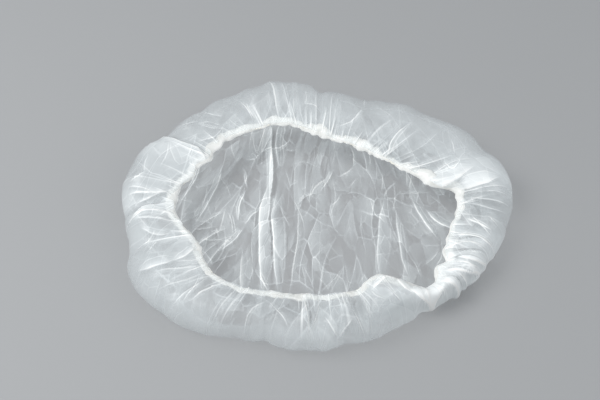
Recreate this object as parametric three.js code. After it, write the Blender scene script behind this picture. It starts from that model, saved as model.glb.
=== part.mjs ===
// A disposable shower cap lying on its crown with the mouth up. One sheet of thin film is drawn
// together along its edge: the hem turns over an elastic band, the film puffs out around it in
// gathered lobes, and the crown lies on the table in long creases.
// Millimetres, +Z up. The origin is under the middle of the outline, on the surface it lies on.
import * as THREE from "three";

// Driving dimensions
const FILM_WALL = 1; // drawn as a solid wall; the real film is far thinner
const ELASTIC_RADIUS = 1.5;
const HEM_RADIUS = 2.9; // from the elastic's middle to the middle of the film turned over it
const FOOT_INSET = 15; // from the outline in to where the film lifts off the table
const WAIST_SHARE = 0.4; // height of the widest place, as a share of the crest's
const CREST_SHARE = 0.4; // place of the crest, as a share of the way from outline to rim
const FLAT_RADIUS = 14; // crown kept flat about the origin, which the cap rests on
const FLAT_BLEND = 12; // width over which the creases rise from that flat

// Shape of the cap in even steps around it, counter-clockwise from +X.
// rim and reach are radii of the elastic and of the outline, lift and crest their heights.
const SECTIONS = [
  { rim: 101, lift: 28, reach: 139, crest: 33 },
  { rim: 76, lift: 31, reach: 141, crest: 38 },
  { rim: 62, lift: 33, reach: 119, crest: 40 },
  { rim: 57, lift: 34, reach: 106, crest: 42 },
  { rim: 57, lift: 34, reach: 100, crest: 43 },
  { rim: 66, lift: 34, reach: 109, crest: 44 },
  { rim: 77, lift: 33, reach: 115, crest: 42 },
  { rim: 86, lift: 30, reach: 122, crest: 38 },
  { rim: 91, lift: 29, reach: 139, crest: 41 },
  { rim: 103, lift: 27, reach: 142, crest: 38 },
  { rim: 94, lift: 28, reach: 141, crest: 39 },
  { rim: 93, lift: 29, reach: 128, crest: 37 },
  { rim: 80, lift: 30, reach: 110, crest: 36 },
  { rim: 71, lift: 31, reach: 103, crest: 37 },
  { rim: 71, lift: 31, reach: 102, crest: 36 },
  { rim: 74, lift: 29, reach: 101, crest: 33 },
  { rim: 92, lift: 23, reach: 108, crest: 28 },
  { rim: 97, lift: 25, reach: 122, crest: 30 },
];

// Valleys that part the lobes: place and half width in degrees, how far the outline is pulled in
// and how far the crest drops.
const DENTS = [
  { at: 23, width: 3, pull: 5, drop: 6 },
  { at: 68, width: 4, pull: 4, drop: 5 },
  { at: 89, width: 3, pull: 4, drop: 4 },
  { at: 153, width: 4, pull: 5, drop: 9 },
  { at: 179, width: 3, pull: 3, drop: 9 },
  { at: 188, width: 6, pull: 7, drop: 2 },
  { at: 194, width: 3, pull: 3, drop: 8 },
  { at: 214, width: 3, pull: 3, drop: 4 },
  { at: 236, width: 7, pull: 3, drop: 0 },
  { at: 249, width: 4, pull: 7, drop: 5 },
  { at: 281, width: 4, pull: 3, drop: 5 },
  { at: 318, width: 5, pull: 4, drop: 5 },
  { at: 345, width: 3, pull: 3, drop: 5 },
  { at: 357, width: 3, pull: 2, drop: 4 },
];

// Ruffles of the hem: place and half width in degrees, how far the elastic moves in and up.
const RUFFLES = [
  { at: 5, width: 4, inward: -5, up: 0 },
  { at: 13, width: 4, inward: 5, up: 2 },
  { at: 147, width: 5, inward: -3, up: 2 },
  { at: 157, width: 5, inward: 5, up: 3 },
  { at: 308, width: 9, inward: 10, up: 8 },
  { at: 327, width: 6, inward: -6, up: -3 },
];

// Long creases of the crown: middle of each ridge, its heading in degrees from +X, and its sizes.
const CREASES = [
  { x: -36, y: 4, heading: 85, length: 170, width: 17, height: 8 },
  { x: -12, y: -20, heading: 92, length: 130, width: 16, height: 6 },
  { x: 44, y: -6, heading: 90, length: 110, width: 17, height: 8 },
  { x: 70, y: -18, heading: 106, length: 84, width: 16, height: 6 },
  { x: 86, y: 14, heading: 124, length: 76, width: 17, height: 7 },
  { x: -74, y: -18, heading: 46, length: 90, width: 18, height: 8 },
  { x: -68, y: 36, heading: 80, length: 76, width: 17, height: 6 },
  { x: 12, y: 36, heading: 62, length: 76, width: 17, height: 7 },
];

// Gathers that run out from the hem
const GATHERS = 28; // folds around the rim
const GATHER_HEIGHT = 3.6;
const GATHER_DRIFT = 0.4; // how far the folds' spacing wanders, in folds
const GATHER_UNEVEN = 0.25; // share by which the folds' height varies around the rim
const HEM_SCRUNCH = 1.3; // how far the hem itself follows the folds

// Grid of the film: squares along each edge of the crown's grid, whose border carries the columns of
// the side, and where the rings of the side lie along each section
const CROWN_SQUARES = 28;
const ELASTIC_SIDES = 6;
const BULGE_RINGS = [-90, -45, 0, 50, 90]; // degrees round the puffed side, foot to crest
const TOP_RINGS = [0.35, 0.65, 0.88]; // shares of the way from crest to hem
const HEM_RINGS = [90, 135, 180, 225, 270, 320]; // degrees round the elastic, from its top
const TOP_GATHER = [0.8, 0.9, 0.3]; // share of the gather's height on each of the top rings
const CREST_GATHER = 0.35;
const RUN_STEP = 0.005; // share of a turn to either side, over which the elastic's run is taken

const { degToRad, lerp, smoothstep } = THREE.MathUtils;

// Share of a turn, from 0 up to 1, at which a place lies as seen from the centre.
const turnOf = (x, y) => (Math.atan2(y, x) / (2 * Math.PI) + 1) % 1;

// One column of SECTIONS at a share of a turn: a closed Catmull-Rom curve through its rows.
function around(column, turn) {
  const rows = SECTIONS.length;
  const row = Math.floor(turn * rows);
  const f = turn * rows - row;
  const [a, b, c, d] = [-1, 0, 1, 2].map((step) => SECTIONS[(row + step + rows) % rows][column]);
  return b + 0.5 * f * (c - a + f * (2 * a - 5 * b + 4 * c - d + f * (3 * (b - c) + d - a)));
}

// Sum of one column of DENTS or RUFFLES at an angle, each row a bell of its own width.
function bells(table, column, degrees) {
  return table.reduce((sum, row) => {
    const off = ((degrees - row.at + 540) % 360) - 180;
    return sum + row[column] * Math.exp(-((off / row.width) ** 2));
  }, 0);
}

// Fold wave of the gathers, from -1 to 1, unevenly spaced around the rim.
function gather(turn) {
  const wave = (times) => Math.sin(2 * Math.PI * times * turn);
  const drift = GATHER_DRIFT * (wave(3) + 0.5 * wave(7));
  const size = 1 - GATHER_UNEVEN * (1 + wave(5));
  return size * Math.sin(2 * Math.PI * (GATHERS * turn + drift));
}

// Height of the crown's creases over a place on the table.
function crease(x, y) {
  const rise = CREASES.reduce((highest, c) => {
    const [cos, sin] = [Math.cos(degToRad(c.heading)), Math.sin(degToRad(c.heading))];
    const along = Math.abs((x - c.x) * cos + (y - c.y) * sin) / (c.length / 2);
    const across = Math.abs((y - c.y) * cos - (x - c.x) * sin) / c.width;
    return Math.max(highest, c.height * Math.max(0, 1 - across ** 2) ** 2 * Math.max(0, 1 - along ** 2));
  }, 0);
  return rise * smoothstep(Math.hypot(x, y), FLAT_RADIUS, FLAT_RADIUS + FLAT_BLEND);
}

// Sizes of the hem and of the puffed film beside it, at a share of a turn.
function sectionAt(turn) {
  const degrees = 360 * turn;
  const wave = gather(turn);
  return {
    wave,
    rim: around("rim", turn) - bells(RUFFLES, "inward", degrees),
    lift: around("lift", turn) + bells(RUFFLES, "up", degrees) + HEM_SCRUNCH * wave,
    reach: around("reach", turn) - bells(DENTS, "pull", degrees),
    crest: around("crest", turn) - bells(DENTS, "drop", degrees),
  };
}

// A place given by its radius from the centre, a share of a turn and its height.
function polar(radius, turn, height) {
  const a = 2 * Math.PI * turn;
  return new THREE.Vector3(radius * Math.cos(a), radius * Math.sin(a), height);
}

// Points round the elastic's middle, square to its run, at angles in degrees up from straight out.
function roundElastic(turn, radius, angles) {
  const middleAt = (share) => {
    const { rim, lift } = sectionAt(share);
    return polar(rim, share, lift);
  };
  const run = middleAt(turn + RUN_STEP).sub(middleAt(turn - RUN_STEP));
  const outward = new THREE.Vector3(run.y, -run.x, 0).normalize();
  const upward = new THREE.Vector3().crossVectors(outward, run).normalize();
  return angles.map((degrees) => {
    const a = degToRad(degrees);
    const point = middleAt(turn).addScaledVector(outward, radius * Math.cos(a));
    return point.addScaledVector(upward, radius * Math.sin(a));
  });
}

// A square grid point, each side from -1 to 1, laid onto the crown: the square's edge becomes the
// foot of the side.
function crownPoint(across, along) {
  const [u, v] = [across * Math.sqrt(1 - along ** 2 / 2), along * Math.sqrt(1 - across ** 2 / 2)];
  const { reach } = sectionAt(turnOf(u, v));
  const [x, y] = [u * (reach - FOOT_INSET), v * (reach - FOOT_INSET)];
  return new THREE.Vector3(x, y, FILM_WALL / 2 + crease(x, y));
}

// Middle of the film up one section of the side, from above the foot to the hem's free edge.
function sidePoints(turn) {
  const { wave, rim, lift, reach, crest } = sectionAt(turn);
  const ground = FILM_WALL / 2;
  const waist = WAIST_SHARE * crest;
  const crestRadius = reach - CREST_SHARE * (reach - rim);
  const hemTop = lift + HEM_RADIUS;

  const bulge = BULGE_RINGS.map((degrees) => {
    const a = degToRad(degrees);
    const inset = degrees < 0 ? FOOT_INSET : reach - crestRadius;
    const rise = degrees < 0 ? waist - ground : crest - waist;
    const gathered = (degrees < 0 ? 0 : CREST_GATHER * Math.sin(a)) * GATHER_HEIGHT * wave;
    return polar(reach - inset * (1 - Math.cos(a)), turn, waist + rise * Math.sin(a) + gathered);
  });
  const top = TOP_RINGS.map((share, k) => {
    const radius = lerp(crestRadius, rim, share);
    const height = lerp(crest, hemTop, smoothstep(share, 0, 1));
    return polar(radius, turn, height + TOP_GATHER[k] * GATHER_HEIGHT * wave);
  });
  return [...bulge, ...top, ...roundElastic(turn, HEM_RADIUS, HEM_RINGS)];
}

// Two triangles of a four-cornered face, and a geometry of points and triangles.
const quad = (a, b, c, d) => [
  [a, b, c],
  [a, c, d],
];
function solid(points, triangles) {
  const geometry = new THREE.BufferGeometry().setFromPoints(points).setIndex(triangles.flat());
  geometry.computeVertexNormals();
  return geometry;
}

// Closed wall about a middle surface: its skin half a wall out along the surface's normals, the same
// skin turned round half a wall in, and a strip that joins them along the open edge, a loop of point
// numbers.
function wall(points, triangles, loop) {
  const normals = solid(points, triangles).getAttribute("normal");
  const skin = (side) =>
    points.map((p, k) => {
      const normal = new THREE.Vector3().fromBufferAttribute(normals, k);
      return p.clone().addScaledVector(normal, (side * FILM_WALL) / 2);
    });
  const count = points.length;
  const inner = triangles.map(([a, b, c]) => [a + count, c + count, b + count]);
  const edge = loop.flatMap((a, i) => {
    const b = loop[(i + 1) % loop.length];
    return [
      [a, b, b + count],
      [a, b + count, a + count],
    ];
  });
  return solid([...skin(1), ...skin(-1)], [...triangles, ...inner, ...edge]);
}

// The crown's square grid, with its border as a loop of point numbers, counter-clockwise from
// -45 degrees, and the share of a turn at which each of them lies.
function crownGrid() {
  const n = CROWN_SQUARES;
  const spot = (i, j) => i * (n + 1) + j;
  const points = [];
  const triangles = [];
  for (let i = 0; i <= n; i++) {
    for (let j = 0; j <= n; j++) points.push(crownPoint((2 * i) / n - 1, (2 * j) / n - 1));
  }
  for (let i = 0; i < n; i++) {
    for (let j = 0; j < n; j++) {
      triangles.push(...quad(spot(i, j), spot(i, j + 1), spot(i + 1, j + 1), spot(i + 1, j)));
    }
  }
  const steps = Array.from({ length: n }, (_, k) => k);
  const corners = [(k) => spot(n, k), (k) => spot(n - k, n), (k) => spot(0, n - k), (k) => spot(k, 0)];
  const border = corners.flatMap((edge) => steps.map(edge));
  const turns = border.map((k) => turnOf(points[k].x, points[k].y));
  return { points, triangles, border, turns };
}

// The film: the crown's grid, then the side's rings up from its border.
function filmWall({ points, triangles, border, turns }) {
  const sides = turns.map(sidePoints);
  let ring = border;
  for (let level = 1; level < sides[0].length; level++) {
    const above = sides.map((side) => points.push(side[level]) - 1);
    ring.forEach((a, i) => {
      const next = (i + 1) % ring.length;
      triangles.push(...quad(a, ring[next], above[next], above[i]));
    });
    ring = above;
  }
  return wall(points, triangles, ring);
}

// Closed ring about the rim, with a section at each of the film's.
function elasticRing(turns) {
  const angles = Array.from({ length: ELASTIC_SIDES }, (_, side) => (360 * side) / ELASTIC_SIDES);
  const points = turns.flatMap((turn) => roundElastic(turn, ELASTIC_RADIUS, angles));
  const triangles = turns.flatMap((_, i) => {
    const [here, there] = [i, (i + 1) % turns.length].map((section) => section * ELASTIC_SIDES);
    return angles.flatMap((_, side) => {
      const up = (side + 1) % ELASTIC_SIDES;
      return quad(here + side, there + side, there + up, here + up);
    });
  });
  return solid(points, triangles);
}

const filmMaterial = new THREE.MeshStandardMaterial({
  color: 0xdfe6e7,
  roughness: 0.35,
  metalness: 0,
  transparent: true,
  opacity: 0.55,
});
const elasticMaterial = new THREE.MeshStandardMaterial({
  color: 0xf1eee2,
  roughness: 0.8,
  metalness: 0,
});

const crown = crownGrid();
const film = new THREE.Mesh(filmWall(crown), filmMaterial);
film.name = "crown_film";
const elastic = new THREE.Mesh(elasticRing(crown.turns), elasticMaterial);
elastic.name = "elastic_band";

// The cap is moved so that its outline's middle lies over the origin.
const cap = new THREE.Group();
const middle = new THREE.Box3().setFromObject(film).getCenter(new THREE.Vector3());
for (const piece of [film, elastic]) {
  piece.position.set(-middle.x, -middle.y, 0);
  cap.add(piece);
}

export default cap;
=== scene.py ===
# %% [markdown]
# A disposable shower cap, laid down with its mouth up.
#
# The real cap is one round sheet of milky film, which is thinner than a hair. Its edge is
# turned over a thin elastic, which draws the sheet in: the edge scrunches into a hem, the film
# beside it puffs out in pleated lobes, and the middle of the sheet, the crown, lies on the table
# in the folds that it was packed in. This lesson makes those three things as surfaces worked out
# with numpy, and gives them a film that is clear where it is smooth and white where it is creased.

import bpy
import numpy as np
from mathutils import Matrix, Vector


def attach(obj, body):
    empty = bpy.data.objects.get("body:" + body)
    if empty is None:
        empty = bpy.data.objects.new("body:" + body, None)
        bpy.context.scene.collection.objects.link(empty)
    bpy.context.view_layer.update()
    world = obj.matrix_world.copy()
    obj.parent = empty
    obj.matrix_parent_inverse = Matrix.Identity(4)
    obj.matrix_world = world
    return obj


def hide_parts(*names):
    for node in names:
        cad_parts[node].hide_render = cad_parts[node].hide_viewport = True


MM = 0.001  # lengths below are in millimetres, except where metres are named
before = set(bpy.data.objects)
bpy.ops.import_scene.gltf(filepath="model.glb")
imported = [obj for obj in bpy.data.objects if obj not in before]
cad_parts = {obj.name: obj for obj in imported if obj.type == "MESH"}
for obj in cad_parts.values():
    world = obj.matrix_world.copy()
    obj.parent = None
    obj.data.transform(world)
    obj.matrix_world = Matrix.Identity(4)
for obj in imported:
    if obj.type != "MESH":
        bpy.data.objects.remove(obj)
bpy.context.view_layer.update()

# %% [markdown]
# The camera comes first, because everything is judged through it. The photograph looks down on
# the cap at about 62 degrees from a metre away. A long lens keeps the perspective weak, and a
# small shift puts the origin at the pixel where the middle of the cap lies.

# %% Camera
LOOK_DOWN = np.radians(62)
CAMERA_FAR = 1000
PIXEL_SIZE = 0.734  # millimetres at the origin
PHOTO_WIDE, PHOTO_HIGH = 600, 400
ORIGIN_PIXEL = (317, 224.4)
SENSOR_WIDE = 36

back = Vector((0, -np.cos(LOOK_DOWN), np.sin(LOOK_DOWN)))
camera = bpy.data.objects.new("camera", bpy.data.cameras.new("camera"))
bpy.context.scene.collection.objects.link(camera)
camera.location = back * CAMERA_FAR * MM
camera.rotation_euler = (np.pi / 2 - LOOK_DOWN, 0, 0)
camera.data.sensor_width = SENSOR_WIDE
camera.data.lens = SENSOR_WIDE * CAMERA_FAR / (PIXEL_SIZE * PHOTO_WIDE)
camera.data.shift_x = (PHOTO_WIDE / 2 - ORIGIN_PIXEL[0]) / PHOTO_WIDE
camera.data.shift_y = (ORIGIN_PIXEL[1] - PHOTO_HIGH / 2) / PHOTO_WIDE
bpy.context.scene.camera = camera
print("lens, mm:", round(camera.data.lens, 1))

# %% [markdown]
# A few curves are used all through. One is the shape of a crease: film can't stretch, so a fold in
# it is sharp along its crest and eases out at its feet. A squared tent does that, where a bell curve
# would look like rubber.

# %% Curve helpers
FULL_TURN = 2 * np.pi
SWELL_WAVES = 9


def tent(x):
    """Sharp crest: one minus the distance from it, squared, and nothing beyond one unit."""
    return np.clip(1 - np.abs(x), 0, 1) ** 2


def ease(x):
    """Smooth step from 0 to 1 as x goes from 0 to 1: three x squared less two x cubed."""
    x = np.clip(x, 0, 1)
    return x * x * (3 - 2 * x)


def bell(x):
    """One at zero, falling off as the exponential of minus the square."""
    return np.exp(-np.square(x))


def turned(a):
    """An angle brought into the half turn either side of zero."""
    return (a + np.pi) % FULL_TURN - np.pi


def zigzag(x):
    """A wave of straight ramps from -1 to 1: the arcsine of the sine, as a share of a quarter turn."""
    return np.arcsin(np.sin(x)) * 2 / np.pi


def swell(x, y, shortest, longest, seed, wave=np.sin):
    """Chance rise and fall, mostly from -1 to 1: waves of chance heading and length, added up
    and divided by the root of their number."""
    draw = np.random.default_rng(seed)
    heading = draw.uniform(0, FULL_TURN, SWELL_WAVES)
    number = FULL_TURN / draw.uniform(shortest, longest, SWELL_WAVES)
    phase = draw.uniform(0, FULL_TURN, SWELL_WAVES)
    across = x[..., None] * np.cos(heading) + y[..., None] * np.sin(heading)
    return wave(across * number + phase).sum(-1) / np.sqrt(SWELL_WAVES)


# %% [markdown]
# The frame already holds the cap's plan: the elastic's ring, and a plain film wall around it. A
# finer film has to follow the same plan, so it is measured here once, as four curves round the
# cap: where the elastic runs, how high it is, how far the film reaches and how high it puffs.
# Each curve is read in narrow steps of angle, and its finest waves are damped so that it is smooth.
# The CAD elastic is a plain ring; the loose hem wanders a little to either side of it.

# %% Measure the plan
PLAN_STEPS = 180  # steps of angle that are read
FINE_STEPS = 2880  # steps of angle of the smooth curve
EDGE_SPOTS = 16  # places read along each edge of a triangle
SMOOTH_WAVES = 60  # waves round the cap past which a curve is damped
WALL_HALF = 0.5  # the CAD wall's skin stands this far outside its middle
LOOSE_HEM = [
    # place and half width in degrees, how far outside, or inside if less than nothing
    (6.8, 2.6, 6.5),
    (14, 5, 4.0),
    (110, 8, 2.2),
    (138, 5, 2.5),
    (160, 3.6, 8.0),
    (172, 6, 4.0),
    (196, 9, -5.0),
    (224, 20, -5.0),
    (248, 9, -1.6),
    (319, 4, 4.5),
    (330.8, 2.2, -2.5),
    (335.5, 2.2, 4.0),
    (349, 8, -4.5),
]


def edge_points(name):
    """Places along all the edges of a CAD node's triangles, in millimetres: shares of each edge."""
    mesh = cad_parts[name].data
    flat = np.empty(len(mesh.vertices) * 3)
    mesh.vertices.foreach_get("co", flat)
    corner = np.empty(len(mesh.loops), np.int32)
    mesh.loops.foreach_get("vertex_index", corner)
    corners = (flat.reshape(-1, 3) / MM)[corner].reshape(-1, 3, 1, 3)
    share = np.linspace(0, 1, EDGE_SPOTS)[:, None]
    return (corners + (np.roll(corners, -1, axis=1) - corners) * share).reshape(-1, 3)


def closed_curve(points, value, pick):
    """Value against angle round the cap: a pick (np.max or np.mean) from each step of angle, turned
    into waves round the cap, damped by a bell of their number, and summed again."""
    step = (np.arctan2(points[:, 1], points[:, 0]) % FULL_TURN / FULL_TURN * PLAN_STEPS).astype(int)
    picked = np.array([pick(value[step == k]) for k in range(PLAN_STEPS)])
    wave = np.arange(PLAN_STEPS // 2 + 1)
    fine = np.arange(FINE_STEPS) / FINE_STEPS * FULL_TURN
    size = np.fft.rfft(picked) / PLAN_STEPS * np.exp(-((wave / SMOOTH_WAVES) ** 2))
    size[1:] *= 2
    turn = np.exp(1j * wave * (fine[:, None] - np.pi / PLAN_STEPS))
    curve = (size * turn).sum(1).real
    return lambda a: np.interp(a, fine, curve, period=FULL_TURN)


elastic_points = edge_points("elastic_band")
wall_points = edge_points("crown_film")
elastic_radius = closed_curve(elastic_points, np.hypot(*elastic_points[:, :2].T), np.mean)
rim_height = closed_curve(elastic_points, elastic_points[:, 2], np.mean)
outline = closed_curve(wall_points, np.hypot(*wall_points[:, :2].T) - WALL_HALF, np.max)
crest_height = closed_curve(wall_points, wall_points[:, 2] - WALL_HALF, np.max)


def along_rim(angle, table):
    """Sum of bells round the cap, one for each row of place, half width and size."""
    off = [turned(angle - np.radians(at)) / np.radians(wide) for at, wide, size in table]
    return sum(size * bell(o) for o, (at, wide, size) in zip(off, table))


def rim_radius(angle):
    """Radius of the hem's middle line: the elastic's, and how far the loose hem lies outside it."""
    return elastic_radius(angle) + along_rim(angle, LOOSE_HEM)


four_sides = np.radians([0, 90, 180, 270])
print("rim radius at the four sides, mm:", rim_radius(four_sides).round(1))
print("outline at the four sides, mm:", outline(four_sides).round(1))

# %% [markdown]
# Three helpers serve the pieces. One turns points and quads into a mesh, and the other two write
# numbers on its vertices, which a finish can read by name.

# %% Mesh helpers
ROOT = "root"


def make_piece(name, points, quads):
    """A smooth-shaded mesh of quads, in metres, that rides on the cap's one body."""
    mesh = bpy.data.meshes.new(name)
    mesh.vertices.add(len(points))
    mesh.vertices.foreach_set("co", (points * MM).astype(np.float32).ravel())
    mesh.loops.add(quads.size)
    mesh.loops.foreach_set("vertex_index", quads.astype(np.int32).ravel())
    mesh.polygons.add(len(quads))
    mesh.polygons.foreach_set("loop_start", np.arange(0, quads.size, 4, dtype=np.int32))
    mesh.update(calc_edges=True)
    mesh.validate()
    mesh.polygons.foreach_set("use_smooth", np.ones(len(mesh.polygons), bool))
    piece = bpy.data.objects.new(name, mesh)
    bpy.context.scene.collection.objects.link(piece)
    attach(piece, ROOT)
    print(name, "has", 2 * len(quads), "triangles")
    return piece


def paint(piece, name, values):
    """One number per vertex that a material can read by name."""
    layer = piece.data.attributes.new(name, "FLOAT", "POINT")
    layer.data.foreach_set("value", values.astype(np.float32).ravel())


def paint_vector(piece, name, x, y, z):
    """Three numbers per vertex that a material can read by name."""
    layer = piece.data.attributes.new(name, "FLOAT_VECTOR", "POINT")
    layer.data.foreach_set("vector", np.stack([x, y, z], -1).astype(np.float32).ravel())


# %% [markdown]
# Film that has been handled keeps a net of small creases, as crumpled paper does: slack cells that
# meet in sharp ridges. A grid with one chance point in each square gives such a net, because the
# places that are as near to one point as to another are straight lines that branch and join. Round
# a ring the net has to meet itself, so it can be told to repeat after a number of cells.

# %% Crease net
NET_TABLE = 64  # squares each way, after which a net repeats


def crease_net(u, v, net):
    """How slack the film is in a net of cells of the given sizes: the distance to the nearest chance
    point, in units of a cell, which is largest on the ridges."""
    repeat = net.get("repeat", (NET_TABLE, NET_TABLE))
    table = np.random.default_rng(net["seed"]).random((2, *repeat))
    u, v = u / net["across"], v / net["along"]
    square_u, square_v = np.floor(u).astype(int), np.floor(v).astype(int)
    nearest = np.full(u.shape, np.inf)
    for du in range(-1, 2):
        for dv in range(-1, 2):
            spot = table[:, (square_u + du) % repeat[0], (square_v + dv) % repeat[1]]
            nearest = np.minimum(nearest, np.hypot(square_u + du + spot[0] - u, square_v + dv + spot[1] - v))
    return nearest


def lay_nets(u, v, nets):
    """Heights of several nets of creases added up."""
    return sum(net["high"] * crease_net(u, v, net) for net in nets)


# %% [markdown]
# The larger folds are placed one by one, on the crown and on the side alike. A row of a table gives
# a fold's two ends as places seen from above, how far it bows sideways, how high it stands and how
# much its edges whiten. A flat fold of doubled film has two more numbers: how wide it is and how
# hazy. A negative height is a groove, and a negative white or haze is clearer film, which is also
# painted shade in the groove.
#
# A white line half a millimetre wide is finer than the mesh. So the vertices don't carry the line
# itself but the distance from it, less than nothing on one side and more on the other, which stays
# true between the vertices; the finish draws the line where the distance is close to zero. One
# vertex can hold only one distance, so the lines are dealt out over a few sets, and neighbours
# seldom meet in the same set.

# %% Fold helper
FOLD_SKIRT = 5.0  # from a fold's crest to its foot
FULL_SKIRT_HEIGHT = 2.5  # a lower fold has a narrower skirt
RUN_OUT = 0.3  # share of a fold's length over which each end runs out
FAR_EDGE = 0.45  # white of a flat fold's second edge, as a share of the first one's
BOW_RAMP = 2.5  # a fold is at its full bow from one over this of its length in from each end
FAR_LEAN = 0.3  # height of a flat fold's second edge, as a share of the first one's
STRAY, STRAY_WAVES = 0.9, (22, 70)  # how far a fold strays off its line, in waves how long
LINE_REACH = 4.0  # a vertex further than this from a line doesn't hold it
LEAST_WIDTH = 0.1  # divided by where a fold is narrower than this


def fold_over(x, y, x0, y0, x1, y1, bow, high, white, wide=0, haze=0):
    """A fold laid on a plane: its height and haze at every point, and its edge lines, each as the
    distance from it and its white.

    Along is the share of the way from end to end, and across the distance from the middle line,
    which bows in three straight lengths, as film kinks and doesn't bend. The fold runs out evenly
    at its ends. A flat fold leans: from its first edge, which is high, white and hazy, all three
    fall off evenly to its second. Outside them the height is a squared tent."""
    dx, dy = x1 - x0, y1 - y0
    length = np.hypot(dx, dy)
    along = np.clip(((x - x0) * dx + (y - y0) * dy) / length**2, 0, 1)
    from_end = np.minimum(along, 1 - along)
    across = ((y - y0) * dx - (x - x0) * dy) / length - bow * np.minimum(BOW_RAMP * from_end, 1)
    taper = np.minimum(from_end / RUN_OUT, 1)
    half = wide / 2 * taper
    from_far = np.clip((half - across) / np.maximum(2 * half, LEAST_WIDTH), 0, 1)
    lean = FAR_LEAN + (1 - FAR_LEAN) * from_far
    outside = np.maximum(np.abs(across) - half, 0)
    skirt = FOLD_SKIRT * min(1, abs(high) / FULL_SKIRT_HEIGHT)
    height = high * taper * lean * tent(outside / skirt)
    edges = [(across + half, white * taper)]
    if wide:
        edges.append((across - half, FAR_EDGE * white * taper))
    lines = [(np.where(taper > 0, distance, LINE_REACH), paint_white) for distance, paint_white in edges]
    # a negative white or haze gives clearer film, which also stands as painted shade in a groove
    return height, haze * taper * lean * ease(1 - outside), lines


def empty_lines(count, shape):
    """Sets of lines that hold none yet: distance, white."""
    sets = np.zeros((count, 2, *shape))
    sets[:, 0] = LINE_REACH
    return sets


def lay_folds(x, y, folds, set_count):
    """Heights and hazes of many folds, each point taking the largest, and the sets of their lines,
    each point taking the nearest line of a set. A line's white fades out towards its reach."""
    strayed_x = x + STRAY * swell(x, y, *STRAY_WAVES, 7, zigzag)
    strayed_y = y + STRAY * swell(x, y, *STRAY_WAVES, 8, zigzag)
    height, haze = np.zeros((2, *x.shape))
    sets = empty_lines(set_count, x.shape)
    dealt = 0
    for fold in folds:
        fold_height, fold_haze, lines = fold_over(strayed_x, strayed_y, *fold)
        height = np.where(np.abs(fold_height) > np.abs(height), fold_height, height)
        haze = np.where(np.abs(fold_haze) > np.abs(haze), fold_haze, haze)
        for line in lines:
            held = sets[dealt % set_count]
            nearer = np.abs(line[0]) < np.abs(held[0])
            sets[dealt % set_count] = np.where(nearer, np.stack(line), held)
            dealt += 1
    sets[:, 1] *= ease(2 - 2 * np.abs(sets[:, 0]) / LINE_REACH)
    return height, haze, sets


# %% [markdown]
# The crown. A disc could be drawn as spokes and rings, but then the grid crowds at the middle and
# is coarse at the edge. Here a square grid is pressed onto the disc instead: its rows and columns
# bend a little near the corners and stay even all over, so a crease looks the same wherever it
# falls. The square's edge becomes the line where the film leaves the table. The cap's outside is
# underneath here, so the crown's faces look down, as the side's look out.

# %% Crown grid
CROWN_SQUARES = 240
FOOT_INSET = 15  # from the outline in to where the film lifts off the table
TABLE_GAP = 0.4

side = np.linspace(-1, 1, CROWN_SQUARES + 1)
s, t = np.meshgrid(side, side, indexing="ij")
disc_x = s * np.sqrt(1 - t**2 / 2)
disc_y = t * np.sqrt(1 - s**2 / 2)
crown_reach = outline(np.arctan2(disc_y, disc_x)) - FOOT_INSET
crown_x = disc_x * crown_reach
crown_y = disc_y * crown_reach
number = np.arange(s.size).reshape(s.shape)
crown_quads = np.stack([number[:-1, :-1], number[:-1, 1:], number[1:, 1:], number[1:, :-1]], -1)
crown_quads = crown_quads.reshape(-1, 4)
border = np.concatenate([number[-1, :-1], number[:0:-1, -1], number[0, :0:-1], number[:-1, 0]])
border_angle = np.arctan2(crown_y.ravel()[border], crown_x.ravel()[border])
print("crown:", crown_x.size, "points, of which", len(border), "carry the side")

# %% [markdown]
# The cap was sold folded small, and the folds are still there: flat strips of doubled film that
# run from the far rim to the near one, with single creases branching off them. Between them lies
# the net of small creases. Its cells are long and narrow, and fan out from a point beyond the far
# rim, as the film's pull does.

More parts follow.
